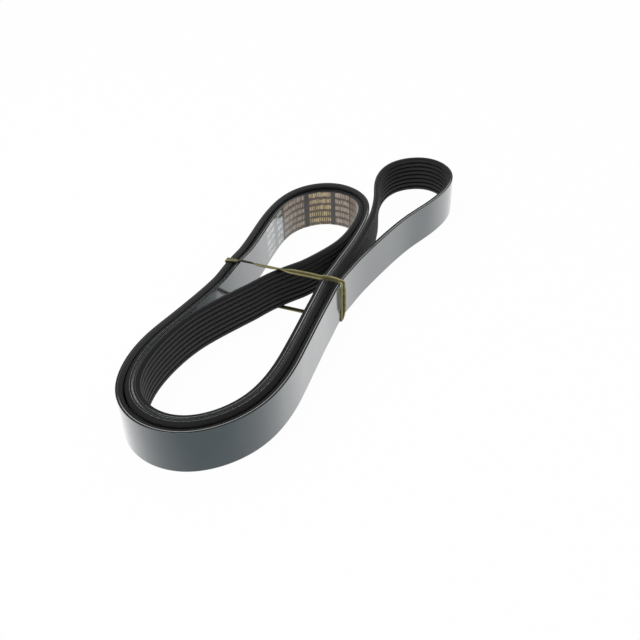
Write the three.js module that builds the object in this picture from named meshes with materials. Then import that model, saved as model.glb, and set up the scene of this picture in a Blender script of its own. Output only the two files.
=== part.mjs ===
// Eight-rib automotive serpentine belt, folded for storage and tied with one rubber band.
// Millimetres, +Z up. The belt stands on its cut edge, its back cover vertical.
import * as THREE from 'three';

// Belt section
const RIB_COUNT = 8;
const RIB_PITCH = 3.56;
const RIB_ANGLE = 40;
const RIB_DEPTH = 2.3;
const BELT_THICKNESS = 4.0;

// Fold, measured between the outermost guide points of the back face
const FOLD_LENGTH = 367;
const FOLD_DEPTH = 126.5;

// Lay of the folded belt
const BACK_GAP = 0.5;
const STIFFNESS_LENGTH = 19;
const CHORD_ERROR = 0.15;
const LONGEST_STEP = 40;
const WALK_STEP = 1;
const STEPS_PER_GUIDE = 40;
const SIDE_EASE = 0.1;

// Rubber band
const BAND_WIDTH = 3.5;
const BAND_THICKNESS = 1.0;
const BAND_CLEARANCE = 0.3;
const BAND_CHAMFER = 0.3;
const BAND_CENTRE_X = -26.2;
const BAND_SKEW = 9.9;
const BAND_TURN = 1.3;
const BAND_BELLY = 0.5;
const TURN_STEPS = 5;
const BELLY_STEPS = 8;
const UPPER_STEPS = 44;
const ARCH_FLAT = 3;
const ARCH_REACH = 22;

// Back face of the outermost turn, walked clockwise from the foot of the small loop:
// round the small loop, down the near side, round the large loop, up the far side,
// round the middle loop and back towards the large loop.
const OUTER_TURN = [
  [79, -7.5], [99, 1], [119, 12], [141, 19], [161.5, 18.5], [176, 9.5], [184, -5],
  [179.5, -22], [165, -36], [144, -42.5], [119, -42.5], [82.5, -37], [42.5, -35.5],
  [2.5, -36.5], [-37, -43.5], [-75.5, -53.5], [-112.5, -62.5], [-138.5, -63],
  [-162, -54], [-179, -36], [-183, -11], [-172.5, 12], [-152, 26.5], [-126, 34],
  [-94, 35], [-52.5, 37.5], [-9.5, 46.5], [33, 59], [58.5, 63.5], [79.5, 62],
  [96.5, 52.5], [105.5, 38], [104, 19.5], [93, 2.5], [82, -5], [69, -10.5], [33, -19.5],
];

// Free run of the strand that crosses from the large loop to the middle loop.
const CROSSING = [[-72, 20.5], [-42, 11.5], [-9.5, -0.5], [14, -6.5]];

// Open space between the facing ribs, one value for each guide point of the outer turn.
const LARGE_LOOP_FIRST = 13;
const LARGE_LOOP_SLACK = [3.4, 1.5, 0.9, 1.3, 1.7, 1.9, 1.6, 1.4, 0.9, 0.7, 0.7, 0.7];
const MIDDLE_LOOP_FIRST = 25;
const MIDDLE_LOOP_SLACK = [0.8, 1.5, 1.9, 2.2, 5.5, 8.2, 8.3, 5.8, 0.5, 0.5, 0.3, 3.0];
const INNER_EASE = [0.1, 0.1, 0.1, 0.1, 0.1, 0.1, 0.1, 0.1, 0.1, 0.1, 0.5, 0.5];
const SIDE_LAST = 36;
const SIDE_FIRST = 35;

// Roll of the band about its own line, in degrees, at shares of its upper run from the far
// side: it lies flat over the belt's edges and twists between them.
const BAND_ROLLS = [
  [0, 0], [0.06, -12], [0.15, -48], [0.21, -44], [0.3, -20], [0.4, -20], [0.47, -36],
  [0.61, 50], [0.76, 50], [0.84, -8], [0.9, 18], [1, 0],
];

const ribs = Math.max(1, Math.round(RIB_COUNT));
const beltWidth = ribs * RIB_PITCH;
const bandLift = BAND_THICKNESS + BAND_CLEARANCE;

const foldSizes = [FOLD_LENGTH, FOLD_DEPTH];

// Guide points brought to the length and depth of the fold.
function toFold(points) {
  const scale = foldSizes.map((size, axis) => {
    const values = OUTER_TURN.map((point) => point[axis]);
    return size / (Math.max(...values) - Math.min(...values));
  });
  return points.map((point) => point.map((value, axis) => value * scale[axis]));
}

// Unit vectors to the right of the walk at each point of an open list.
function rightNormals(points) {
  return points.map((point, i) => {
    const before = points[Math.max(i - 1, 0)];
    const after = points[Math.min(i + 1, points.length - 1)];
    const into = [point[0] - before[0], point[1] - before[1]];
    const out = [after[0] - point[0], after[1] - point[1]];
    const intoLength = Math.hypot(into[0], into[1]);
    const outLength = Math.hypot(out[0], out[1]);
    let along = [into[0] + out[0], into[1] + out[1]];
    if (intoLength > 0 && outLength > 0) {
      along = [0, 1].map((a) => into[a] / intoLength * outLength + out[a] / outLength * intoLength);
    }
    const length = Math.hypot(along[0], along[1]);
    return [along[1] / length, -along[0] / length];
  });
}

// Guide points of the whole closed belt, each inner strand set off from the outer turn.
function beltGuides() {
  const outer = toFold(OUTER_TURN);
  const normals = rightNormals(outer);
  const setOff = (i, distance) => [
    outer[i][0] + normals[i][0] * distance,
    outer[i][1] + normals[i][1] * distance,
  ];
  const guides = outer.map((point) => [...point]);
  LARGE_LOOP_SLACK.forEach((slack, k) => {
    const distance = 2 * BELT_THICKNESS + slack + BACK_GAP + INNER_EASE[k];
    guides.push(setOff(LARGE_LOOP_FIRST + k, distance));
  });
  guides.push(...toFold(CROSSING));
  for (let k = MIDDLE_LOOP_SLACK.length - 1; k >= 0; k -= 1) {
    guides.push(setOff(MIDDLE_LOOP_FIRST + k, 2 * BELT_THICKNESS + MIDDLE_LOOP_SLACK[k]));
  }
  for (let k = LARGE_LOOP_SLACK.length - 1; k >= 0; k -= 1) {
    guides.push(setOff(LARGE_LOOP_FIRST + k, 2 * BELT_THICKNESS + LARGE_LOOP_SLACK[k]));
  }
  for (let i = SIDE_LAST; i >= SIDE_FIRST; i -= 1) {
    guides.push(setOff(i, -BACK_GAP - SIDE_EASE));
  }
  return guides;
}

// Points spaced evenly along a closed line.
function spaceEvenly(points, count) {
  const closed = [...points, points[0]];
  const reach = [0];
  for (let i = 1; i < closed.length; i += 1) {
    const dx = closed[i][0] - closed[i - 1][0];
    const dy = closed[i][1] - closed[i - 1][1];
    reach.push(reach[i - 1] + Math.hypot(dx, dy));
  }
  const total = reach[reach.length - 1];
  const result = [];
  let segment = 1;
  for (let k = 0; k < count; k += 1) {
    const at = total * k / count;
    while (reach[segment] < at) {
      segment += 1;
    }
    const part = (at - reach[segment - 1]) / (reach[segment] - reach[segment - 1]);
    const [from, to] = [closed[segment - 1], closed[segment]];
    result.push([from[0] + (to[0] - from[0]) * part, from[1] + (to[1] - from[1]) * part]);
  }
  return result;
}

// A stiff belt never kinks: each point becomes the mean of its neighbourhood.
function stiffen(points, halfCount) {
  const count = points.length;
  return points.map((unused, i) => {
    let x = 0;
    let y = 0;
    for (let k = -halfCount; k <= halfCount; k += 1) {
      const point = points[(i + k + count) % count];
      x += point[0];
      y += point[1];
    }
    return [x / (2 * halfCount + 1), y / (2 * halfCount + 1)];
  });
}

// Fine walk along the back face of the belt with the normal towards the ribs.
function beltWalk() {
  const knots = beltGuides().map(([x, y]) => new THREE.Vector3(x, y, 0));
  const curve = new THREE.CatmullRomCurve3(knots, true, 'centripetal');
  const fine = curve.getPoints(knots.length * STEPS_PER_GUIDE).slice(0, -1).map((p) => [p.x, p.y]);
  let length = 0;
  fine.forEach((point, i) => {
    const next = fine[(i + 1) % fine.length];
    length += Math.hypot(next[0] - point[0], next[1] - point[1]);
  });
  const count = Math.round(length / WALK_STEP);
  const halfCount = Math.round((STIFFNESS_LENGTH / WALK_STEP - 1) / 2);
  let points = spaceEvenly(fine, count);
  points = stiffen(points, halfCount);
  points = stiffen(points, halfCount);
  points = spaceEvenly(points, count);
  return points.map((point, i) => {
    const before = points[(i - 1 + count) % count];
    const after = points[(i + 1) % count];
    const along = [after[0] - before[0], after[1] - before[1]];
    const size = Math.hypot(along[0], along[1]);
    return {
      x: point[0],
      y: point[1],
      nx: along[1] / size,
      ny: -along[0] / size,
      heading: Math.atan2(along[1], along[0]),
    };
  });
}

const bandSkew = THREE.MathUtils.degToRad(BAND_SKEW);
const bandAcross = [-Math.sin(bandSkew), Math.cos(bandSkew)];
const bandAlong = [Math.cos(bandSkew), Math.sin(bandSkew)];

// Distance of a plan point from the plane of the rubber band.
function bandDistance(x, y) {
  return (x - BAND_CENTRE_X) * bandAlong[0] + y * bandAlong[1];
}

// Height by which the belt arches over the lower run of the rubber band.
function archHeight(x, y) {
  const away = Math.abs(bandDistance(x, y));
  const fall = THREE.MathUtils.smoothstep(away, ARCH_FLAT, ARCH_REACH);
  return bandLift * (1 - fall);
}

// Stations of the sweep: closer where the belt bends and where it arches over the band.
function pickStations(walk) {
  const marks = [ARCH_FLAT, (ARCH_FLAT + ARCH_REACH) / 2, ARCH_REACH];
  const stations = [];
  let run = 0;
  let bend = 0;
  walk.forEach((point, i) => {
    const last = walk[(i - 1 + walk.length) % walk.length];
    const here = Math.abs(bandDistance(point.x, point.y));
    const there = Math.abs(bandDistance(last.x, last.y));
    let turn = point.heading - last.heading;
    turn = Math.atan2(Math.sin(turn), Math.cos(turn));
    run += WALK_STEP;
    bend += turn;
    const sag = run * Math.abs(bend) / 8;
    const crossed = marks.some((mark) => (here - mark) * (there - mark) < 0);
    if (i === 0 || sag >= CHORD_ERROR || run >= LONGEST_STEP || crossed) {
      stations.push(point);
      run = 0;
      bend = 0;
    }
  });
  return stations;
}

// Outline of the section: distance from the back face and height above the lower edge.
function beltProfile() {
  const flank = RIB_DEPTH * Math.tan(THREE.MathUtils.degToRad(RIB_ANGLE / 2));
  const root = BELT_THICKNESS - RIB_DEPTH;
  const outline = [[0, beltWidth], [0, 0], [root, 0]];
  for (let k = 0; k < ribs; k += 1) {
    outline.push([BELT_THICKNESS, k * RIB_PITCH + flank]);
    outline.push([BELT_THICKNESS, (k + 1) * RIB_PITCH - flank]);
    outline.push([root, (k + 1) * RIB_PITCH]);
  }
  return outline;
}

// Closed surface through rings of points, each ring joined to the next.
function closedSweep(rings) {
  const size = rings[0].length;
  const positions = rings.flat(2);
  const faces = [];
  rings.forEach((ring, i) => {
    const next = (i + 1) % rings.length;
    for (let k = 0; k < size; k += 1) {
      const a = i * size + k;
      const b = i * size + (k + 1) % size;
      const c = next * size + (k + 1) % size;
      const d = next * size + k;
      faces.push(a, c, b, a, d, c);
    }
  });
  const geometry = new THREE.BufferGeometry();
  geometry.setAttribute('position', new THREE.Float32BufferAttribute(positions, 3));
  geometry.setIndex(faces);
  geometry.computeVertexNormals();
  return geometry;
}

function beltGeometry(walk) {
  const outline = beltProfile();
  const rings = pickStations(walk).map((station) => {
    const lift = archHeight(station.x, station.y);
    return outline.map(([depth, height]) => [
      station.x + station.nx * depth,
      station.y + station.ny * depth,
      height + lift,
    ]);
  });
  return closedSweep(rings);
}

// Outline of the band's section: off its middle and along its width, corners cut.
function bandSection() {
  const half = BAND_THICKNESS / 2;
  const side = BAND_WIDTH / 2;
  return [
    [half, side - BAND_CHAMFER], [half - BAND_CHAMFER, side],
    [BAND_CHAMFER - half, side], [-half, side - BAND_CHAMFER],
    [-half, BAND_CHAMFER - side], [BAND_CHAMFER - half, -side],
    [half - BAND_CHAMFER, -side], [half, BAND_CHAMFER - side],
  ];
}

// Section turned about the band's own line.
function rolled(section, roll) {
  const [sine, cosine] = [Math.sin(roll), Math.cos(roll)];
  return section.map(([out, along]) => [out * cosine + along * sine, along * cosine - out * sine]);
}

function rollAt(share) {
  const next = Math.max(1, BAND_ROLLS.findIndex(([place]) => place >= share));
  const [[from, start], [to, end]] = [BAND_ROLLS[next - 1], BAND_ROLLS[next]];
  const degrees = start + (end - start) * THREE.MathUtils.smoothstep(share, from, to);
  return THREE.MathUtils.degToRad(degrees);
}

// Places along the band, round the whole bundle in an upright plane: each has its reach
// across the bundle, its height, the angle that faces outward and the section there. The
// band turns about the belt's corners, its upright runs belly outward, and its upper run
// rests on the belt's edges however it is rolled.
function bandPlaces(walk) {
  const near = walk.filter((point) => Math.abs(bandDistance(point.x, point.y)) < BAND_WIDTH);
  const across = near.map((point) => (point.x - BAND_CENTRE_X) * bandAcross[0] + point.y * bandAcross[1]);
  const [low, high] = [Math.min(...across), Math.max(...across)];
  const edge = beltWidth + bandLift;
  const bottom = BAND_THICKNESS / 2 + BAND_TURN;
  const top = edge + BAND_CLEARANCE + BAND_THICKNESS / 2 - BAND_TURN;
  const upright = top - bottom;
  const flat = bandSection();
  const places = [];

  const turn = (reach, height, quarter) => {
    for (let step = 0; step <= TURN_STEPS; step += 1) {
      const angle = (quarter + step / TURN_STEPS) * Math.PI / 2;
      const [u, z] = [reach + Math.cos(angle) * BAND_TURN, height + Math.sin(angle) * BAND_TURN];
      places.push([u, z, angle, flat]);
    }
  };
  const upperRun = () => {
    for (let step = 1; step < UPPER_STEPS; step += 1) {
      const share = step / UPPER_STEPS;
      const section = rolled(flat, rollAt(share));
      const rise = Math.max(...section.map(([out]) => out));
      places.push([high + (low - high) * share, edge + BAND_CLEARANCE + rise, Math.PI / 2, section]);
    }
  };
  const uprightRun = (reach, height, side) => {
    for (let step = 1; step < BELLY_STEPS; step += 1) {
      const share = step / BELLY_STEPS;
      const belly = BAND_BELLY * Math.sin(Math.PI * share) ** 2;
      const lean = Math.atan(BAND_BELLY * Math.PI * Math.sin(2 * Math.PI * share) / upright);
      const outward = side > 0 ? 0 : Math.PI;
      const [u, z] = [reach + side * (BAND_TURN + belly), height + side * upright * share];
      places.push([u, z, outward - lean, flat]);
    }
  };

  turn(high, top, 0);
  upperRun();
  turn(low, top, 1);
  uprightRun(low, top, -1);
  turn(low, bottom, 2);
  turn(high, bottom, 3);
  uprightRun(high, bottom, 1);
  return places;
}

function bandGeometry(walk) {
  const rings = bandPlaces(walk).map(([u, z, angle, section]) => section.map(([out, along]) => {
    const reach = u + Math.cos(angle) * out;
    return [
      BAND_CENTRE_X + bandAcross[0] * reach + bandAlong[0] * along,
      bandAcross[1] * reach + bandAlong[1] * along,
      z + Math.sin(angle) * out,
    ];
  }));
  return closedSweep(rings);
}

const walk = beltWalk();

const beltMaterial = new THREE.MeshStandardMaterial({
  color: 0x16181a,
  roughness: 0.45,
  metalness: 0,
});
const bandMaterial = new THREE.MeshStandardMaterial({
  color: 0x6b6234,
  roughness: 0.6,
  metalness: 0,
});

const belt = new THREE.Mesh(beltGeometry(walk), beltMaterial);
belt.name = 'belt';
const rubberBand = new THREE.Mesh(bandGeometry(walk), bandMaterial);
rubberBand.name = 'rubber_band';

const group = new THREE.Group();
group.name = 'serpentine_belt';
group.add(belt, rubberBand);

export default group;
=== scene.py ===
import math
import bpy
import numpy as np
from mathutils import Matrix, Vector


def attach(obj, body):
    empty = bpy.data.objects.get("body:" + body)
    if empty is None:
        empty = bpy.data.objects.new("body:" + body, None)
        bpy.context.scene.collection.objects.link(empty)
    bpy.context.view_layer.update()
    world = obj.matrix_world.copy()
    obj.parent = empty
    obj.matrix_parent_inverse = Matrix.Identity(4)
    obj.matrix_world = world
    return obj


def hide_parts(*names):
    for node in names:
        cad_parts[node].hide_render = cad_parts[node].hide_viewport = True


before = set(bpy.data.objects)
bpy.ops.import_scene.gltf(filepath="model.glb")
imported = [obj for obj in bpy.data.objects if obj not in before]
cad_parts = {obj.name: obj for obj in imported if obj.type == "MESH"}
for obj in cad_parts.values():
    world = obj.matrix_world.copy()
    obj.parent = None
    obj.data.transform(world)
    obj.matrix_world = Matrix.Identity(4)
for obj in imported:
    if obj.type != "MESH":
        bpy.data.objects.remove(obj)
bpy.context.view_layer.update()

MM = 0.001

# Camera, seen along the heading and down by the elevation, with a lens for a 640 by 640 frame
CAMERA_AIM = Vector((-0.0260, -0.0272, 0.0))
CAMERA_DISTANCE = 0.51597
CAMERA_HEADING = math.radians(57)
CAMERA_ELEVATION = math.radians(36.33)
CAMERA_ROLL = math.radians(-1.69)
CAMERA_LENS = 43.39
CAMERA_SENSOR = 36.0
CAMERA_NEAREST = 0.01


def make_camera():
    heading, elevation = CAMERA_HEADING, CAMERA_ELEVATION
    level = Vector((math.sin(heading), math.cos(heading), 0))
    forward = level * math.cos(elevation) - Vector((0, 0, math.sin(elevation)))
    side = Vector((math.cos(heading), -math.sin(heading), 0))
    upward = side.cross(forward)
    right = side * math.cos(CAMERA_ROLL) + upward * math.sin(CAMERA_ROLL)
    up = upward * math.cos(CAMERA_ROLL) - side * math.sin(CAMERA_ROLL)
    data = bpy.data.cameras.new("camera")
    data.lens = CAMERA_LENS
    data.sensor_width = CAMERA_SENSOR
    data.clip_start = CAMERA_NEAREST
    camera = bpy.data.objects.new("camera", data)
    turned = Matrix((right, up, -forward)).transposed().to_4x4()
    camera.matrix_world = Matrix.Translation(CAMERA_AIM - forward * CAMERA_DISTANCE) @ turned
    bpy.context.scene.collection.objects.link(camera)
    bpy.context.scene.camera = camera


make_camera()

# Belt section, in millimetres and degrees
RIB_COUNT = 8
RIB_PITCH = 3.56
RIB_ANGLE = 40
RIB_DEPTH = 2.3
RIB_FLANK = RIB_DEPTH * math.tan(math.radians(RIB_ANGLE / 2))
BELT_THICKNESS = 4.0
BELT_WIDTH = RIB_COUNT * RIB_PITCH
RIB_ROOT = BELT_THICKNESS - RIB_DEPTH
TIP_ROUNDING = 0.42
GROOVE_ROUNDING = 0.32
BACK_ROUNDING = 0.22
BACK_STEPS = 4
RIB_STEPS = 2
BELT_SMOOTH_ANGLE = 28

# Bared cord along the upper edge, and its outline as shares of its width and its height
CORD_DEPTH = 1.22
CORD_WIDTH = 0.4
CORD_HEIGHT = 0.05
CORD_OUTLINE = [(1, 0), (0.75, 1), (0.25, 1), (0, 0)]

# A flat longer than this has a point just inside both of its ends, so that it is shaded flat
BROAD_FLAT = 2 * RIB_DEPTH
FLAT_MARGIN = 0.1

# Lay of the belt, in millimetres
STRAND_GAP = 0.5
STIFFNESS_LENGTH = 19
WALK_STEP = 1.0
STATION_STEP = 2.0
GUIDE_STEPS = 40

# Back face of the outermost turn, walked clockwise: small loop, near side, large loop,
# far side, middle loop, and back towards the large loop
OUTER_TURN = [
    (79, -7.5), (99, 1), (119, 12), (141, 19), (161.5, 18.5), (176, 9.5), (184, -5),
    (179.5, -22), (165, -36), (144, -42.5), (119, -42.5), (82.5, -37), (42.5, -35.5),
    (2.5, -36.5), (-37, -43.5), (-75.5, -53.5), (-112.5, -62.5), (-138.5, -63),
    (-162, -54), (-179, -36), (-183, -11), (-172.5, 12), (-152, 26.5), (-126, 34),
    (-94, 35), (-52.5, 37.5), (-9.5, 46.5), (33, 59), (58.5, 63.5), (79.5, 62),
    (96.5, 52.5), (105.5, 38), (104, 19.5), (93, 2.5), (82, -5), (69, -10.5), (33, -19.5),
]
# Strand that crosses from the large loop to the middle loop
CROSSING = [(-72, 20.5), (-42, 11.5), (-9.5, -0.5), (14, -6.5)]
# Space between facing ribs at each loop's guides of the outer turn, from its first one on
LARGE_LOOP_FIRST = 13
LARGE_LOOP_SLACK = [3.4, 1.5, 0.9, 1.3, 1.7, 1.9, 1.6, 1.4, 0.9, 0.7, 0.7, 0.7]
MIDDLE_LOOP_FIRST = 25
MIDDLE_LOOP_SLACK = [0.8, 1.5, 1.9, 2.2, 5.5, 8.2, 8.3, 5.8, 0.5, 0.5, 0.3, 3.0]
# Ease between the two inner strands of the large loop, at the same guides
INNER_EASE = [0.1] * 10 + [0.5] * 2
# Guides of the outer turn that the last strand runs beside, and its ease there
SIDE_STRAND = [36, 35]
SIDE_EASE = 0.1

# Rubber band, in millimetres: its section, its place and the corners of its route
BAND_WIDTH = 3.5
BAND_THICKNESS = 1.0
BAND_ROUNDING = 0.35
BAND_FACE_POINTS = 11
BAND_RIM_POINTS = 7
BAND_SMOOTH_ANGLE = 50
BAND_CLEARANCE = 0.3
BAND_CENTRE = np.array([-26.2, 0.0])
BAND_SKEW = math.radians(9.9)
BAND_WAY = np.array([-math.sin(BAND_SKEW), math.cos(BAND_SKEW)])
BAND_SIDEWAYS = np.array([math.cos(BAND_SKEW), math.sin(BAND_SKEW)])
BAND_TURN = 1.05
BAND_TUCK = 0.65
RIM_GAP = 0.08
TURN_STEPS = 10
UPRIGHT_STEPS = 28
UPPER_STEPS = 150
LOWER_STEPS = 60

# Arch of the belt over the band's lower run
BAND_LIFT = BAND_THICKNESS + BAND_CLEARANCE
ARCH_FLAT = 3.0
ARCH_REACH = 22.0

# Roll of the band about its own line, in degrees, at shares of its upper run from the far
# side and of its upright runs from the floor
NEAR_TOP_ROLL = 18
FAR_TOP_ROLL = 5
UPPER_ROLLS = [
    (0, 0), (0.06, -12), (0.15, -48), (0.21, -44), (0.3, -14), (0.4, -14), (0.47, -30),
    (0.61, 50), (0.75, 50), (0.82, 25), (0.87, 66), (0.92, 60), (1, NEAR_TOP_ROLL),
]
UPRIGHT_ROLLS = [(0, 0), (0.1, 25), (0.3, 52), (0.8, 60)]

# Curl across the band at the same shares: the turn, in radians, from its middle to its rims
TOP_CURL = 0.25
UPPER_CURLS = [
    (0, TOP_CURL), (0.1, 0), (0.3, 0.4), (0.45, 0.6), (0.58, 1.1), (0.78, 1.0),
    (0.87, 0.2), (0.96, 0.2), (1, TOP_CURL),
]
UPRIGHT_CURLS = [(0, 0), (0.25, 0.3), (0.75, 0.3), (1, TOP_CURL)]
LEAST_BEND = 1e-4

# Painted shade on the band: along its upper run, on the lower rim there, and on its inner face
UPPER_PAINTED_SHADES = [
    (0, 0.35), (0.08, 0.45), (0.13, 1), (0.23, 1), (0.27, 0.3), (0.42, 0.25), (0.48, 0.5),
    (0.56, 0.25), (0.8, 0.3), (0.86, 0.3), (0.95, 0.1), (1, 0.0),
]
LOW_RIM_PAINTED_SHADES = [(0, 0), (0.8, 0), (0.87, 0.9), (0.97, 0.9), (1, 0.5)]
LOW_RIM_REACH = 0.5
INNER_PAINTED_SHADE = 0.9
INNER_DEPTH = 0.3


def unit(vectors):
    return vectors / np.linalg.norm(vectors, axis=-1, keepdims=True)


def right_of(directions):
    """Directions turned a quarter to the right of the walk."""
    return np.stack([directions[:, 1], -directions[:, 0]], 1)


def outer_normals(points):
    """Right-hand normals at the points of an open line, weighted by the nearer neighbour."""
    along = np.empty_like(points)
    along[0] = points[1] - points[0]
    along[-1] = points[-1] - points[-2]
    into, out = points[1:-1] - points[:-2], points[2:] - points[1:-1]
    into_length = np.linalg.norm(into, axis=1)[:, None]
    out_length = np.linalg.norm(out, axis=1)[:, None]
    along[1:-1] = into / into_length * out_length + out / out_length * into_length
    return right_of(unit(along))


def belt_guides():
    """Guide points of the closed belt, each inner strand set off from the outer turn."""
    outer = np.array(OUTER_TURN, float)
    normals = outer_normals(outer)
    large = [LARGE_LOOP_FIRST + k for k in range(len(LARGE_LOOP_SLACK))]
    middle = [MIDDLE_LOOP_FIRST + k for k in range(len(MIDDLE_LOOP_SLACK))]
    guides = list(outer)
    for i, slack, ease in zip(large, LARGE_LOOP_SLACK, INNER_EASE):
        guides.append(outer[i] + normals[i] * (2 * BELT_THICKNESS + slack + STRAND_GAP + ease))
    guides += [np.array(point, float) for point in CROSSING]
    for i, slack in reversed(list(zip(middle, MIDDLE_LOOP_SLACK))):
        guides.append(outer[i] + normals[i] * (2 * BELT_THICKNESS + slack))
    for i, slack in reversed(list(zip(large, LARGE_LOOP_SLACK))):
        guides.append(outer[i] + normals[i] * (2 * BELT_THICKNESS + slack))
    for i in SIDE_STRAND:
        guides.append(outer[i] - normals[i] * (STRAND_GAP + SIDE_EASE))
    return np.array(guides)


def smooth_line(points):
    """Closed centripetal Catmull-Rom line through the points."""
    line = []
    share = np.arange(GUIDE_STEPS)[:, None] / GUIDE_STEPS
    for i in range(len(points)):
        p0, p1 = points[i - 1], points[i]
        p2, p3 = points[(i + 1) % len(points)], points[(i + 2) % len(points)]
        d1, d2, d3 = (math.sqrt(np.linalg.norm(b - a)) for a, b in ((p0, p1), (p1, p2), (p2, p3)))
        leave = ((p1 - p0) / d1 - (p2 - p0) / (d1 + d2) + (p2 - p1) / d2) * d2
        arrive = ((p2 - p1) / d2 - (p3 - p1) / (d2 + d3) + (p3 - p2) / d3) * d2
        square = 3 * (p2 - p1) - 2 * leave - arrive
        cube = 2 * (p1 - p2) + leave + arrive
        line.append(p1 + leave * share + square * share**2 + cube * share**3)
    return np.vstack(line)


def space_evenly(points, count):
    """Points at even steps round a closed line, and its length."""
    closed = np.vstack([points, points[:1]])
    reach = np.concatenate([[0], np.cumsum(np.linalg.norm(np.diff(closed, axis=0), axis=1))])
    at = np.linspace(0, reach[-1], count, endpoint=False)
    return np.stack([np.interp(at, reach, closed[:, axis]) for axis in (0, 1)], 1), reach[-1]


def stiffen(points, half):
    """Each point of a closed line becomes the mean of its neighbourhood."""
    total = sum(np.roll(points, shift, axis=0) for shift in range(-half, half + 1))
    return total / (2 * half + 1)


def belt_walk():
    """Points one step apart along the back face, and the whole length."""
    fine = smooth_line(belt_guides())
    length = space_evenly(fine, len(fine))[1]
    count = round(length / WALK_STEP)
    half = round((STIFFNESS_LENGTH / WALK_STEP - 1) / 2)
    points = space_evenly(fine, count)[0]
    points = stiffen(stiffen(points, half), half)
    return space_evenly(points, count)


def band_distance(points):
    """Distance of plan points from the upright plane of the rubber band."""
    return (points - BAND_CENTRE) @ BAND_SIDEWAYS


def arch_height(points):
    """Height by which the belt arches over the lower run of the rubber band."""
    away = (np.abs(band_distance(points)) - ARCH_FLAT) / (ARCH_REACH - ARCH_FLAT)
    away = away.clip(0, 1)
    return BAND_LIFT * (1 - away * away * (3 - 2 * away))


def rounded(corners):
    """Outline through (corner, cut, steps), each cut corner bridged by a small curve."""
    points = [np.array(corner, float) for corner, *_ in corners]
    result = []
    for i, (_, cut, steps) in enumerate(corners):
        corner = points[i]
        if cut == 0:
            result.append(corner)
            continue
        start = corner + unit(points[i - 1] - corner) * cut
        end = corner + unit(points[(i + 1) % len(points)] - corner) * cut
        for k in range(steps + 1):
            t = k / steps
            result.append((1 - t) ** 2 * start + 2 * t * (1 - t) * corner + t * t * end)
    return np.array(result)


def with_margins(outline):
    """The outline with points just inside both ends of each broad flat."""
    result = []
    for point, after in zip(outline, np.roll(outline, -1, axis=0)):
        result.append(point)
        if np.linalg.norm(after - point) > BROAD_FLAT:
            margin = unit(after - point) * FLAT_MARGIN
            result += [point + margin, after - margin]
    return np.array(result)


def belt_section():
    """Closed outline of the section: depth from the back face, and height on the width."""
    corners = [
        ((0, BELT_WIDTH), BACK_ROUNDING, BACK_STEPS),
        ((0, 0), BACK_ROUNDING, BACK_STEPS),
        ((RIB_ROOT, 0), 0, 0),
    ]
    for k in range(RIB_COUNT):
        foot, head = k * RIB_PITCH, (k + 1) * RIB_PITCH
        corners.append(((BELT_THICKNESS, foot + RIB_FLANK), TIP_ROUNDING, RIB_STEPS))
        corners.append(((BELT_THICKNESS, head - RIB_FLANK), TIP_ROUNDING, RIB_STEPS))
        corners.append(((RIB_ROOT, head), GROOVE_ROUNDING, RIB_STEPS))
    corners[-1] = ((RIB_ROOT, BELT_WIDTH), 0, 0)
    for across, rise in CORD_OUTLINE:
        depth = CORD_DEPTH + CORD_WIDTH * (across - 0.5)
        corners.append(((depth, BELT_WIDTH + CORD_HEIGHT * rise), 0, 0))
    return with_margins(rounded(corners))


def sweep(rings):
    """Vertices and quads of a closed surface through rings of points."""
    count, size = rings.shape[:2]
    vertices = rings.reshape(-1, 3)
    ring = np.arange(count)[:, None] * size
    following = np.roll(ring, -1, axis=0)
    k = np.arange(size)[None, :]
    after = (k + 1) % size
    quads = np.stack([ring + k, following + k, following + after, ring + after], 2)
    return vertices, quads.reshape(-1, 4)


def new_piece(name, vertices, quads, attributes, smooth_angle):
    """An object of the given vertices in millimetres, with one number for each of them."""
    mesh = bpy.data.meshes.new(name)
    mesh.from_pydata((vertices * MM).tolist(), [], quads.tolist())
    for key, values in attributes.items():
        attribute = mesh.attributes.new(key, "FLOAT", "POINT")
        attribute.data.foreach_set("value", np.asarray(values, np.float32).ravel())
    mesh.shade_smooth()
    mesh.set_sharp_from_angle(angle=math.radians(smooth_angle))
    mesh.validate()
    piece = bpy.data.objects.new(name, mesh)
    bpy.context.scene.collection.objects.link(piece)
    return piece


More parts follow.
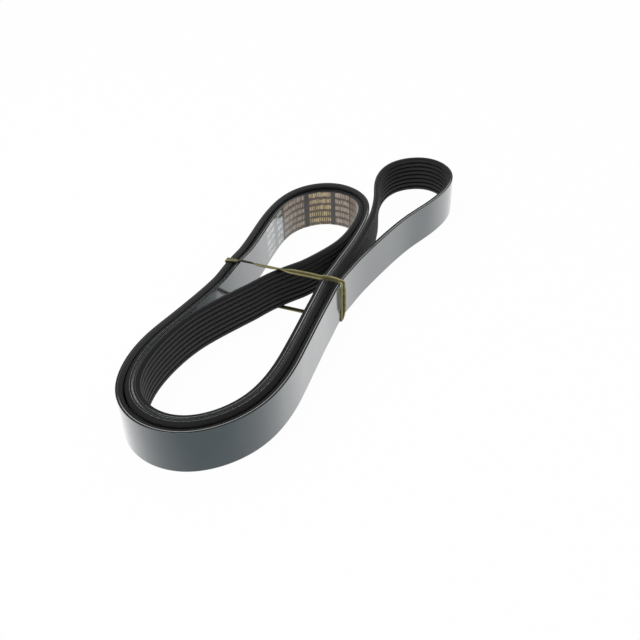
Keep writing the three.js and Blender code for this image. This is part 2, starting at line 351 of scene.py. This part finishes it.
class Nodes:
    """Short calls for building one procedural material."""

    def __init__(self, name):
        self.material = bpy.data.materials.new(name)
        self.material.use_nodes = True
        self.tree = self.material.node_tree
        self.shader = self.tree.nodes["Principled BSDF"]

    def link(self, source, target):
        if isinstance(source, (int, float)):
            target.default_value = source
        elif isinstance(source, tuple):
            target.default_value = (*source, 1.0) if len(target.default_value) == 4 else source
        else:
            self.tree.links.new(source, target)

    def attribute(self, name):
        node = self.tree.nodes.new("ShaderNodeAttribute")
        node.attribute_name = name
        return node.outputs["Fac"]

    def math(self, operation, *inputs):
        node = self.tree.nodes.new("ShaderNodeMath")
        node.operation = operation
        for value, socket in zip(inputs, node.inputs):
            self.link(value, socket)
        return node.outputs[0]

    def times(self, first, *others):
        product = first
        for value in others:
            product = self.math("MULTIPLY", product, value)
        return product

    def less(self, value, taken):
        return self.math("SUBTRACT", value, taken)

    def more(self, value, added):
        return self.math("ADD", value, added)

    def larger(self, first, second):
        return self.math("MAXIMUM", first, second)

    def ramp(self, value, low, high, start=0.0, end=1.0):
        """From start to end while the value goes from low to high."""
        node = self.tree.nodes.new("ShaderNodeMapRange")
        for source, key in ((value, "Value"), (low, "From Min"), (high, "From Max")):
            self.link(source, node.inputs[key])
        self.link(start, node.inputs["To Min"])
        self.link(end, node.inputs["To Max"])
        return node.outputs["Result"]

    def window(self, value, low, high, soft):
        """One between low and high, with soft ends."""
        rise = self.ramp(value, low - soft, low + soft)
        fall = self.ramp(value, high - soft, high + soft, 1.0, 0.0)
        return self.times(rise, fall)

    def mix(self, share, first, second):
        node = self.tree.nodes.new("ShaderNodeMix")
        node.data_type = "RGBA"
        self.link(share, node.inputs["Factor"])
        self.link(first, node.inputs["A"])
        self.link(second, node.inputs["B"])
        return node.outputs["Result"]

    def place(self):
        """Position on the piece, in millimetres."""
        coordinates = self.tree.nodes.new("ShaderNodeTexCoord")
        mapping = self.tree.nodes.new("ShaderNodeMapping")
        mapping.inputs["Scale"].default_value = [1 / MM] * 3
        self.tree.links.new(coordinates.outputs["Object"], mapping.inputs["Vector"])
        return mapping.outputs["Vector"]

    def join(self, x, y, z=0.0):
        node = self.tree.nodes.new("ShaderNodeCombineXYZ")
        for value, socket in zip((x, y, z), node.inputs):
            self.link(value, socket)
        return node.outputs[0]

    def noise(self, vector, pattern):
        """Soft noise of a pattern, which is its scale, detail and roughness."""
        node = self.tree.nodes.new("ShaderNodeTexNoise")
        self.link(vector, node.inputs["Vector"])
        for value, key in zip(pattern, ("Scale", "Detail", "Roughness")):
            self.link(value, node.inputs[key])
        return node.outputs["Fac"]

    def chance(self, x, y, seed):
        """One random number for each whole-number place."""
        node = self.tree.nodes.new("ShaderNodeTexWhiteNoise")
        node.noise_dimensions = "3D"
        self.link(self.join(x, y, seed), node.inputs["Vector"])
        return node.outputs["Value"]

    def facing(self):
        """Nought where the surface faces the eye, one where it is seen edge on."""
        node = self.tree.nodes.new("ShaderNodeLayerWeight")
        return node.outputs["Facing"]

    def bump(self, height, relief):
        """Relief is the depth in millimetres and the strength."""
        node = self.tree.nodes.new("ShaderNodeBump")
        depth, strength = relief
        node.inputs["Distance"].default_value = depth * MM
        node.inputs["Strength"].default_value = strength
        self.link(height, node.inputs["Height"])
        self.link(node.outputs[0], self.shader.inputs["Normal"])

    def finish(self, colour, roughness, settings):
        """Colour and roughness may vary; the settings are the same all over."""
        self.link(colour, self.shader.inputs["Base Color"])
        self.link(roughness, self.shader.inputs["Roughness"])
        for key, value in settings.items():
            self.shader.inputs[key].default_value = value
        return self.material


# In the values of the materials, a pattern is a noise's scale, detail and roughness. A ramp
# is where a value starts and ends, and what it gives there, which is nought and one when it
# isn't said. A relief is a depth in millimetres and a strength. Colours are linear.

# Cover of the belt
COVER_COLOUR = (0.003, 0.008, 0.013)
COVER_PALE = (0.010, 0.017, 0.023)
COVER_PATTERN = (0.05, 2.0, 0.5)
COVER_PALE_RAMP = (0.4, 0.7, 0.0, 1.0)
COVER_FOOT_RAMP = (0.3, 2.0, 0.7, 0.0)
COVER_ROUGHNESS_RAMP = (0.35, 0.65, 0.10, 0.14)
COVER_GRAIN_PATTERN = (1.6, 4.0, 0.6)
COVER_GRAIN_SHARE = 0.25
COVER_RELIEF = (0.01, 0.5)
COVER_SETTINGS = {
    "IOR": 1.72,
    "Specular IOR Level": 0.5,
    "Specular Tint": (0.78, 0.95, 1.0, 1.0),
    "Coat IOR": 1.9,
    "Coat Roughness": 0.08,
    "Sheen Weight": 1.0,
    "Sheen Roughness": 0.3,
}

# Gloss of the cover: by how it faces the eye, by soft bands across the run, and by height
GLOSS_FACING_RAMP = (0.30, 0.60, 0.1, 1.0)
GLOSS_BAND_SIZES = (0.06, 0.01)
GLOSS_BAND_PATTERN = (1.0, 3.0, 0.5)
GLOSS_BAND_RAMP = (0.3, 0.7, 0.92, 1.0)
GLOSS_HEIGHT_RAMP = (0.0, BELT_WIDTH, 0.9, 1.0)

# Print on the cover: rows down its width in millimetres, and bars as shares of their pitch
PRINT_ROW_PITCH = 5.5
PRINT_FIRST_ROW = 1.9
PRINT_ROW_HEIGHT = 3.9
PRINT_SHIFT = 0.3
BAR_PITCH = 1.6
BAR_HALF_HEIGHTS = (PRINT_ROW_HEIGHT * 0.36, PRINT_ROW_HEIGHT * 0.5)
BAR_HALF_WIDTHS = (0.16, 0.46)
BAR_END_RAMP = (-0.1, 0.15)
BAR_SIDE_RAMP = (-0.04, 0.04)
HEIGHT_SEED, SHIFT_SEED, WIDTH_SEED = 3.0, 7.0, 11.0
PRINT_RELIEF_SHARE = 0.3
PRINT_WEAR_PATTERN = (0.9, 3.0, 0.6)
PRINT_WEAR_RAMP = (0.35, 0.6, 0.75, 1.0)

# Brown field under the print: its stretch of the walk in millimetres, tone and dullness
FIELD_START, FIELD_END = 1470.0, 1555.3
FIELD_SOFT = 0.25
FIELD_PATTERN = (0.35, 3.0, 0.5)
FIELD_RAMP = (0.3, 0.7, 0.6, 1.0)
FIELD_ROUGHNESS = 0.5
FIELD_DULLNESS = 0.6
PRINT_FIELD = (0.085, 0.066, 0.052)
PRINT_GROUND = (0.170, 0.120, 0.090)
PRINT_FAINT = (0.330, 0.260, 0.210)
PRINT_TAN = (0.68, 0.56, 0.46)
PRINT_GOLD = (0.78, 0.62, 0.35)
PRINT_WHITE = (0.85, 0.88, 0.90)

# Print blocks along the walk, in millimetres: start, end and ink
BLOCK_SOFT = 0.15
PRINT_BLOCKS = [
    (1476.3, 1489.8, PRINT_FAINT),
    (1490.8, 1503.7, PRINT_TAN),
    (1507.3, 1525.2, PRINT_GOLD),
    (1529.1, 1553.3, PRINT_TAN),
    (1556.9, 1565.8, PRINT_WHITE),
    (1572.7, 1588.3, PRINT_WHITE),
]

# Slanted line where the cover's fabric is joined, in millimetres along the walk
SPLICE_TOP = 1669.0
SPLICE_SLANT = 0.7
SPLICE_RAMP = (0.3, 0.8, 1.0, 0.0)


def print_marks(make, run, height):
    """Rows of small upright bars of uneven height, width and place."""
    row_start = BELT_WIDTH - PRINT_FIRST_ROW + PRINT_ROW_PITCH / 2
    row = make.math("DIVIDE", make.less(row_start, height), PRINT_ROW_PITCH)
    row_number = make.math("FLOOR", row)
    in_row = make.times(make.less(make.math("FRACT", row), 0.5), PRINT_ROW_PITCH)
    bar = make.math("DIVIDE", run, BAR_PITCH)
    bar_number = make.math("FLOOR", bar)
    in_bar = make.math("ABSOLUTE", make.less(make.math("FRACT", bar), 0.5))

    def uneven(seed, least, most):
        return make.ramp(make.chance(bar_number, row_number, seed), 0.0, 1.0, least, most)

    half_height = uneven(HEIGHT_SEED, *BAR_HALF_HEIGHTS)
    off_middle = make.math("ABSOLUTE", make.less(in_row, uneven(SHIFT_SEED, -PRINT_SHIFT, PRINT_SHIFT)))
    tall = make.ramp(make.less(half_height, off_middle), *BAR_END_RAMP)
    wide = make.ramp(make.less(uneven(WIDTH_SEED, *BAR_HALF_WIDTHS), in_bar), *BAR_SIDE_RAMP)
    return make.times(tall, wide)


def splice_line(make, run, height):
    """A thin line slanted across the cover, where its fabric is joined."""
    down = make.times(make.less(BELT_WIDTH, height), SPLICE_SLANT)
    off_line = make.math("ABSOLUTE", make.less(run, make.less(SPLICE_TOP, down)))
    return make.ramp(off_line, *SPLICE_RAMP)


def cover_gloss(make, run, height):
    """Share of the clear coat, which is fullest where the cover is seen along its face."""
    along, up = GLOSS_BAND_SIZES
    bands = make.noise(make.join(make.times(run, along), make.times(height, up)), GLOSS_BAND_PATTERN)
    return make.times(
        make.ramp(make.facing(), *GLOSS_FACING_RAMP),
        make.ramp(bands, *GLOSS_BAND_RAMP),
        make.ramp(height, *GLOSS_HEIGHT_RAMP),
    )


def cover_material():
    make = Nodes("belt_cover")
    place = make.place()
    run = make.attribute("run")
    height = make.attribute("height")
    broad = make.noise(place, COVER_PATTERN)
    grain = make.noise(place, COVER_GRAIN_PATTERN)
    foot = make.ramp(height, *COVER_FOOT_RAMP)
    pale = make.larger(make.ramp(broad, *COVER_PALE_RAMP), foot)
    colour = make.mix(pale, COVER_COLOUR, COVER_PALE)
    roughness = make.ramp(broad, *COVER_ROUGHNESS_RAMP)

    marks = print_marks(make, run, height)
    wear = make.ramp(make.noise(place, PRINT_WEAR_PATTERN), *PRINT_WEAR_RAMP)
    field = make.window(run, FIELD_START, FIELD_END, FIELD_SOFT)
    field_tone = make.ramp(make.noise(place, FIELD_PATTERN), *FIELD_RAMP)
    colour = make.mix(make.times(field, field_tone), colour, PRINT_FIELD)
    roughness = make.ramp(field, 0.0, 1.0, roughness, FIELD_ROUGHNESS)
    for start, end, ink in PRINT_BLOCKS:
        block = make.window(run, start, end, BLOCK_SOFT)
        if ink != PRINT_WHITE:
            colour = make.mix(make.times(block, field_tone), colour, PRINT_GROUND)
        colour = make.mix(make.times(marks, wear, block), colour, ink)

    splice = splice_line(make, run, height)
    dulled = make.larger(make.times(field, FIELD_DULLNESS), splice)
    gloss = make.times(cover_gloss(make, run, height), make.less(1.0, dulled))
    make.link(gloss, make.shader.inputs["Coat Weight"])
    relief = make.less(make.times(grain, COVER_GRAIN_SHARE), splice)
    make.bump(make.more(relief, make.times(marks, PRINT_RELIEF_SHARE)), COVER_RELIEF)
    return make.finish(colour, roughness, COVER_SETTINGS)


# Ribs: fibres drawn out along the belt, flecks among them, and tips worn pale
RIB_COLOUR = (0.009, 0.009, 0.010)
RIB_WORN = (0.028, 0.028, 0.029)
FIBRE_SIZES = (0.35, 2.2)
FIBRE_PATTERN = (1.3, 4.0, 0.7)
FLECK_RAMP = (0.60, 0.72, 0.0, 0.35)
TIP_RAMP = (BELT_THICKNESS - 0.8, BELT_THICKNESS - 0.05, 0.0, 1.0)
RIB_WEAR_PATTERN = (0.4, 3.0, 0.5)
RIB_WEAR_RAMP = (0.3, 0.7, 0.5, 1.0)
RIB_ROUGHNESS_RAMP = (0.3, 0.7, 0.5, 0.7)
RIB_GRAIN_PATTERN = (2.5, 3.0, 0.5)
RIB_RELIEF = (0.06, 0.7)
RIB_SETTINGS = {"IOR": 1.5, "Specular IOR Level": 0.35}


def rib_material():
    make = Nodes("belt_ribs")
    place = make.place()
    along, up = FIBRE_SIZES
    run = make.times(make.attribute("run"), along)
    height = make.times(make.attribute("height"), up)
    fibres = make.noise(make.join(run, height), FIBRE_PATTERN)
    tips = make.ramp(make.attribute("depth"), *TIP_RAMP)
    wear = make.ramp(make.noise(place, RIB_WEAR_PATTERN), *RIB_WEAR_RAMP)
    colour = make.mix(make.times(tips, wear), RIB_COLOUR, RIB_WORN)
    colour = make.mix(make.ramp(fibres, *FLECK_RAMP), colour, RIB_WORN)
    roughness = make.ramp(fibres, *RIB_ROUGHNESS_RAMP)
    make.bump(make.more(fibres, make.noise(place, RIB_GRAIN_PATTERN)), RIB_RELIEF)
    return make.finish(colour, roughness, RIB_SETTINGS)


# Cut edges and the outermost flanks of the ribs
EDGE_COLOUR = (0.005, 0.005, 0.006)
EDGE_PALE = (0.010, 0.010, 0.011)
EDGE_PATTERN = (1.1, 4.0, 0.65)
EDGE_PALE_RAMP = (0.4, 0.75, 0.0, 1.0)
EDGE_ROUGHNESS_RAMP = (0.3, 0.7, 0.5, 0.65)
EDGE_RELIEF = (0.12, 0.7)
EDGE_SETTINGS = {"IOR": 1.5, "Specular IOR Level": 0.13}

# Dusty stretch of the far side, and stretches with a painted highlight along the back rim
EDGE_DUSTY = (0.026, 0.026, 0.027)
DUSTY_START, DUSTY_END = 580.0, 905.0
DUSTY_SOFT = 30.0
EDGE_RIM_HIGHLIGHT = (0.120, 0.122, 0.125)
HIGHLIGHT_RIMS = [(40.0, 150.0), (860.0, 925.0)]
HIGHLIGHT_RIM_SOFT = 12.0
HIGHLIGHT_RIM_RAMP = (0.0, 0.7, 0.8, 0.0)

# Groove beside the bared cords, as depths from the back face
GROOVE_COLOUR = (0.003, 0.003, 0.003)
GROOVE_START, GROOVE_END = CORD_DEPTH - 0.85, CORD_DEPTH - 0.3
GROOVE_SOFT = 0.08
GROOVE_RELIEF_SHARE = 0.8

# Bared cords: start and end along the walk in millimetres, strength and unevenness
CORD_COLOUR = (0.80, 0.80, 0.78)
CORD_SOFT = 0.06
CORD_STRETCHES = [
    (170, 290, 0.95, 0.5),
    (290, 560, 0.6, 0.3),
    (920, 1085, 0.7, 0.3),
    (1085, 1200, 0.35, 0.6),
    (1535, 1645, 0.7, 0.6),
    (1645, 1880, 0.3, 0.9),
]
CORD_STRETCH_SOFT = 8.0
CORD_ELSEWHERE = 0.06
CORD_TWIST = (5.2, 6.0)
CORD_TWIST_RAMP = (-1.0, 1.0, 0.5, 1.0)
CORD_PATCH_SIZE = 0.5
CORD_PATCH_PATTERN = (1.0, 3.0, 0.7)
CORD_PATCH_RAMP = (0.4, 0.6, 0.0, 1.0)


def bared_cords(make, run, depth):
    """How much of the cords shows at each place along the walk."""
    along, across = CORD_TWIST
    twist = make.math("SINE", make.more(make.times(run, along), make.times(depth, across)))
    patches = make.noise(make.join(make.times(run, CORD_PATCH_SIZE), 0.0), CORD_PATCH_PATTERN)
    uneven = make.times(make.ramp(patches, *CORD_PATCH_RAMP), make.ramp(twist, *CORD_TWIST_RAMP))
    bared = CORD_ELSEWHERE
    for start, end, strength, unevenness in CORD_STRETCHES:
        stretch = make.times(make.window(run, start, end, CORD_STRETCH_SOFT), strength)
        stretch = make.times(stretch, make.ramp(uneven, 0.0, 1.0, 1 - unevenness, 1.0))
        bared = make.larger(bared, stretch)
    return bared


def edge_material():
    make = Nodes("belt_edge")
    run = make.attribute("run")
    depth = make.attribute("depth")
    rough_cut = make.noise(make.place(), EDGE_PATTERN)
    colour = make.mix(make.ramp(rough_cut, *EDGE_PALE_RAMP), EDGE_COLOUR, EDGE_PALE)
    colour = make.mix(make.window(run, DUSTY_START, DUSTY_END, DUSTY_SOFT), colour, EDGE_DUSTY)
    near_back = make.ramp(depth, *HIGHLIGHT_RIM_RAMP)
    # Painted highlight along the back rim, where the rounded corner catches light
    for start, end in HIGHLIGHT_RIMS:
        painted_highlight = make.times(make.window(run, start, end, HIGHLIGHT_RIM_SOFT), near_back)
        colour = make.mix(painted_highlight, colour, EDGE_RIM_HIGHLIGHT)
    groove = make.window(depth, GROOVE_START, GROOVE_END, GROOVE_SOFT)
    colour = make.mix(groove, colour, GROOVE_COLOUR)
    cord = make.window(depth, CORD_DEPTH - CORD_WIDTH / 2, CORD_DEPTH + CORD_WIDTH / 2, CORD_SOFT)
    colour = make.mix(make.times(cord, bared_cords(make, run, depth)), colour, CORD_COLOUR)
    roughness = make.ramp(rough_cut, *EDGE_ROUGHNESS_RAMP)
    make.bump(make.less(rough_cut, make.times(groove, GROOVE_RELIEF_SHARE)), EDGE_RELIEF)
    return make.finish(colour, roughness, EDGE_SETTINGS)


# Rubber of the band: paler in patches, with a painted highlight towards its rims and painted shade
# along its upper run, on its lower rim and on its inner face
BAND_COLOUR = (0.052, 0.043, 0.010)
BAND_PALE_AND_HIGHLIGHT = (0.400, 0.365, 0.165)
BAND_PAINTED_SHADE = (0.030, 0.026, 0.012)
BAND_RIM_HIGHLIGHT_RAMP = (0.25, 0.7, 0.0, 0.8)
BAND_PATTERN = (0.35, 3.0, 0.5)
BAND_PALE_RAMP = (0.4, 0.8, 0.0, 0.3)
BAND_GRAIN_PATTERN = (2.2, 4.0, 0.6)
BAND_ROUGHNESS_RAMP = (0.3, 0.7, 0.45, 0.6)
BAND_RELIEF = (0.05, 0.6)
BAND_SETTINGS = {
    "IOR": 1.5,
    "Specular IOR Level": 0.2,
    "Subsurface Weight": 0.15,
    "Subsurface Radius": (0.0012, 0.0010, 0.0004),
    "Subsurface Scale": 1.0,
}


def band_material():
    make = Nodes("band_rubber")
    place = make.place()
    mottle = make.noise(place, BAND_PATTERN)
    grain = make.noise(place, BAND_GRAIN_PATTERN)
    # Painted highlight: the rims are paler, as where the curled strip catches light
    painted_rim_highlight = make.ramp(make.attribute("rim"), *BAND_RIM_HIGHLIGHT_RAMP)
    pale = make.more(painted_rim_highlight, make.ramp(mottle, *BAND_PALE_RAMP))
    colour = make.mix(pale, BAND_COLOUR, BAND_PALE_AND_HIGHLIGHT)
    # Painted shade, darkening the band along its upper run, on its lower rim and on its inner face
    colour = make.mix(make.attribute("painted_shade"), colour, BAND_PAINTED_SHADE)
    make.bump(grain, BAND_RELIEF)
    return make.finish(colour, make.ramp(grain, *BAND_ROUGHNESS_RAMP), BAND_SETTINGS)


# Material numbers of the belt's faces
COVER, RIBS, EDGE = 0, 1, 2


def face_materials(section):
    """Material number of each face round the section."""
    middle = (section + np.roll(section, -1, axis=0)) / 2
    on_edge = (middle[:, 1] < RIB_FLANK) | (middle[:, 1] > BELT_WIDTH - RIB_FLANK)
    on_back = middle[:, 0] < BACK_ROUNDING
    return np.where(on_back, COVER, np.where(on_edge, EDGE, RIBS)).astype(np.int32)


def make_belt(walk, length):
    """The belt's finished surface: cover, eight ribs and cut edges, swept along the walk."""
    section = belt_section()
    count = round(length / STATION_STEP)
    centre, total = space_evenly(walk, count)
    along = unit(np.roll(centre, -1, axis=0) - np.roll(centre, 1, axis=0))
    rings = np.empty((count, len(section), 3))
    rings[:, :, :2] = centre[:, None] + right_of(along)[:, None] * section[None, :, :1]
    rings[:, :, 2] = section[None, :, 1] + arch_height(centre)[:, None]
    vertices, quads = sweep(rings)
    attributes = {
        "run": np.repeat(np.arange(count) * total / count, len(section)),
        "depth": np.tile(section[:, 0], count),
        "height": np.tile(section[:, 1], count),
    }
    piece = new_piece("belt_body", vertices, quads, attributes, BELT_SMOOTH_ANGLE)
    for material in (cover_material(), rib_material(), edge_material()):
        piece.data.materials.append(material)
    piece.data.polygons.foreach_set("material_index", np.tile(face_materials(section), count))
    piece.data.update()
    return piece


def eased(rows, place):
    """Value at a place of (place, value) rows, eased from each row to the next."""
    places, values = np.array(rows, float).T
    after = int(np.searchsorted(places, place).clip(1, len(places) - 1))
    part = (place - places[after - 1]) / (places[after] - places[after - 1])
    return values[after - 1] + (values[after] - values[after - 1]) * part * part * (3 - 2 * part)


def band_section():
    """Outline of the strip's section, as (out, along) points, with well rounded rims."""
    half, side = BAND_THICKNESS / 2, BAND_WIDTH / 2
    face = np.linspace(BAND_ROUNDING - side, side - BAND_ROUNDING, BAND_FACE_POINTS)
    angle = np.linspace(0, math.pi, BAND_RIM_POINTS)[1:-1]
    rim = np.stack([half * np.cos(angle), side - BAND_ROUNDING + BAND_ROUNDING * np.sin(angle)], 1)
    outer = np.stack([np.full(len(face), half), face], 1)
    return np.vstack([outer, rim, -outer, -rim])


def curled(section, curl):
    """Section bent across the strip, with its rims outward where the curl is positive."""
    bend = curl / (BAND_WIDTH / 2)
    if abs(bend) < LEAST_BEND:
        return section
    out, along = section.T
    turn = along * bend
    bent_out = (1 - np.cos(turn)) / bend + np.cos(turn) * out
    return np.stack([bent_out, np.sin(turn) / bend - np.sin(turn) * out], 1)


def rolled(section, degrees):
    """Section turned about the strip's own line."""
    out, along = section.T
    sine, cosine = math.sin(math.radians(degrees)), math.cos(math.radians(degrees))
    return np.stack([out * cosine + along * sine, along * cosine - out * sine], 1)


def inward(section):
    """How far a section reaches inward from the strip's line."""
    return -section[:, 0].min()


def band_places(walk):
    """Places along the band, in turn round the bundle. Each is the reach across the bundle,
    the height, the outward angle, the section, its painted shade and the painted shade of its lower
    rim."""
    under = walk[np.abs(band_distance(walk)) < BAND_WIDTH]
    across = (under - BAND_CENTRE) @ BAND_WAY
    near, far = across.min(), across.max()
    edge = BELT_WIDTH + BAND_LIFT
    bottom = BAND_THICKNESS / 2 + BAND_TUCK
    top = edge + BAND_CLEARANCE + BAND_THICKNESS / 2 - BAND_TURN
    flat = band_section()
    places = []

    def turn(reach, height, quarter, radius, section):
        radius += inward(section) - BAND_THICKNESS / 2
        for step in range(TURN_STEPS + 1):
            angle = (quarter + step / TURN_STEPS) * math.pi / 2
            u, z = reach + math.cos(angle) * radius, height + math.sin(angle) * radius
            places.append((u, z, angle, section, 0, 0))

    def upper_run():
        for step in range(1, UPPER_STEPS):
            share = step / UPPER_STEPS
            section = rolled(curled(flat, eased(UPPER_CURLS, share)), eased(UPPER_ROLLS, share))
            u, z = far + (near - far) * share, edge + BAND_CLEARANCE + inward(section)
            # Painted shade along the upper run and on its lower rim
            painted_shade, low_rim_shade = eased(UPPER_PAINTED_SHADES, share), eased(LOW_RIM_PAINTED_SHADES, share)
            places.append((u, z, math.pi / 2, section, painted_shade, low_rim_shade))

    def upright_run(reach, side, top_roll):
        rolls = UPRIGHT_ROLLS + [(1, top_roll)]
        top_section = rolled(curled(flat, TOP_CURL), top_roll)
        top_off = BAND_TURN + inward(top_section) - BAND_THICKNESS / 2
        outward = 0 if side > 0 else math.pi
        for step in range(1, UPRIGHT_STEPS):
            rise = step / UPRIGHT_STEPS if side > 0 else 1 - step / UPRIGHT_STEPS
            section = rolled(curled(flat, eased(UPRIGHT_CURLS, rise)), eased(rolls, rise))
            loose = eased([(0, BAND_TUCK), (1, top_off)], rise)
            seated = RIM_GAP + inward(section)
            off = loose + (seated - loose) * math.sqrt(math.sin(math.pi * rise))
            places.append((reach + side * off, bottom + (top - bottom) * rise, outward, section, 0, 0))

    def lower_run():
        downward = 1.5 * math.pi
        for step in range(1, LOWER_STEPS):
            u = near + (far - near) * step / LOWER_STEPS
            places.append((u, BAND_THICKNESS / 2, downward, flat, 0, 0))

    far_corner = curled(flat, TOP_CURL)
    near_corner = rolled(far_corner, NEAR_TOP_ROLL)
    turn(far, top, 0, BAND_TURN, far_corner)
    upper_run()
    turn(near, top, 1, BAND_TURN, near_corner)
    upright_run(near, -1, NEAR_TOP_ROLL)
    turn(near, bottom, 2, BAND_TUCK, flat)
    lower_run()
    turn(far, bottom, 3, BAND_TUCK, flat)
    upright_run(far, 1, FAR_TOP_ROLL)
    return places


def make_band(walk):
    """The rubber band: a flat strip round the bundle, rolled and curled along its runs."""
    places = band_places(walk)
    flat = band_section()
    across = flat[:, 1] / (BAND_WIDTH / 2)
    # Painted shade on the inner face, along the upper run and on its lower rim
    inner = np.where(flat[:, 0] < -INNER_DEPTH, INNER_PAINTED_SHADE, 0)
    low_side = (-across / LOW_RIM_REACH).clip(0, 1)
    rings = np.empty((len(places), len(flat), 3))
    painted_shades = np.empty((len(places), len(flat)))
    for ring, tones, (u, z, angle, section, painted_shade, low_rim_shade) in zip(rings, painted_shades, places):
        reach = u + math.cos(angle) * section[:, 0]
        ring[:, :2] = BAND_CENTRE + np.outer(reach, BAND_WAY) + np.outer(section[:, 1], BAND_SIDEWAYS)
        ring[:, 2] = z + math.sin(angle) * section[:, 0]
        tones[:] = np.maximum(np.maximum(inner, painted_shade), low_side * low_rim_shade)
    vertices, quads = sweep(rings)
    attributes = {"rim": np.tile(np.abs(across), len(places)), "painted_shade": painted_shades}
    piece = new_piece("tie_band", vertices, quads, attributes, BAND_SMOOTH_ANGLE)
    piece.data.materials.append(band_material())
    return piece


# Floor and light, in metres and watts
FLOOR_REACH = 6.0
FLOOR_DROP = 0.0002
FLOOR_COLOUR = (0.95, 0.95, 0.95, 1.0)
FLOOR_GLOW = 0.97
WHITE = (1.0, 1.0, 1.0, 1.0)
SOFT_LIGHT = 0.72
KEY_SIZE = 0.5
KEY_POWER = 2.2
KEY_PLACE = Vector((-0.35, 0.25, 0.9))


def seen_or_mirrored(tree):
    """One for what the camera sees straight or mirrored in the belt, nought for soft light."""
    rays = tree.nodes.new("ShaderNodeLightPath")
    seen = tree.nodes.new("ShaderNodeMath")
    seen.operation = "MAXIMUM"
    tree.links.new(rays.outputs["Is Camera Ray"], seen.inputs[0])
    tree.links.new(rays.outputs["Is Glossy Ray"], seen.inputs[1])
    return seen.outputs[0]


def make_floor():
    """White floor that keeps the belt's shadow."""
    mesh = bpy.data.meshes.new("floor")
    size = FLOOR_REACH
    corners = [(-size, -size, 0), (size, -size, 0), (size, size, 0), (-size, size, 0)]
    mesh.from_pydata(corners, [], [(0, 1, 2, 3)])
    floor = bpy.data.objects.new("floor", mesh)
    floor.location.z = -FLOOR_DROP
    bpy.context.scene.collection.objects.link(floor)
    material = bpy.data.materials.new("floor_white")
    material.use_nodes = True
    tree = material.node_tree
    tree.nodes.clear()
    output = tree.nodes.new("ShaderNodeOutputMaterial")
    paint = tree.nodes.new("ShaderNodeBsdfDiffuse")
    paint.inputs["Color"].default_value = FLOOR_COLOUR
    glow = tree.nodes.new("ShaderNodeEmission")
    share = tree.nodes.new("ShaderNodeMath")
    share.operation = "MULTIPLY"
    share.inputs[1].default_value = FLOOR_GLOW
    tree.links.new(seen_or_mirrored(tree), share.inputs[0])
    blend = tree.nodes.new("ShaderNodeMixShader")
    tree.links.new(share.outputs[0], blend.inputs["Fac"])
    tree.links.new(paint.outputs[0], blend.inputs[1])
    tree.links.new(glow.outputs[0], blend.inputs[2])
    tree.links.new(blend.outputs[0], output.inputs["Surface"])
    mesh.materials.append(material)


def make_light():
    """Soft white surroundings and one large lamp above the far side."""
    world = bpy.data.worlds.new("studio")
    bpy.context.scene.world = world
    world.use_nodes = True
    tree = world.node_tree
    tree.nodes.clear()
    output = tree.nodes.new("ShaderNodeOutputWorld")
    soft = tree.nodes.new("ShaderNodeBackground")
    soft.inputs["Color"].default_value = WHITE
    soft.inputs["Strength"].default_value = SOFT_LIGHT
    white = tree.nodes.new("ShaderNodeBackground")
    white.inputs["Color"].default_value = WHITE
    blend = tree.nodes.new("ShaderNodeMixShader")
    tree.links.new(seen_or_mirrored(tree), blend.inputs["Fac"])
    tree.links.new(soft.outputs[0], blend.inputs[1])
    tree.links.new(white.outputs[0], blend.inputs[2])
    tree.links.new(blend.outputs[0], output.inputs["Surface"])

    data = bpy.data.lights.new("key", "AREA")
    data.shape = "DISK"
    data.size = KEY_SIZE
    data.energy = KEY_POWER
    lamp = bpy.data.objects.new("key", data)
    lamp.location = KEY_PLACE
    lamp.rotation_euler = (-KEY_PLACE).to_track_quat("-Z", "Y").to_euler()
    bpy.context.scene.collection.objects.link(lamp)


walk, length = belt_walk()

belt = make_belt(walk, length)
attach(belt, "root")
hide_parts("belt")

band = make_band(walk)
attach(band, "root")
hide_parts("rubber_band")

make_floor()
make_light()

bpy.context.scene.view_settings.view_transform = "Standard"
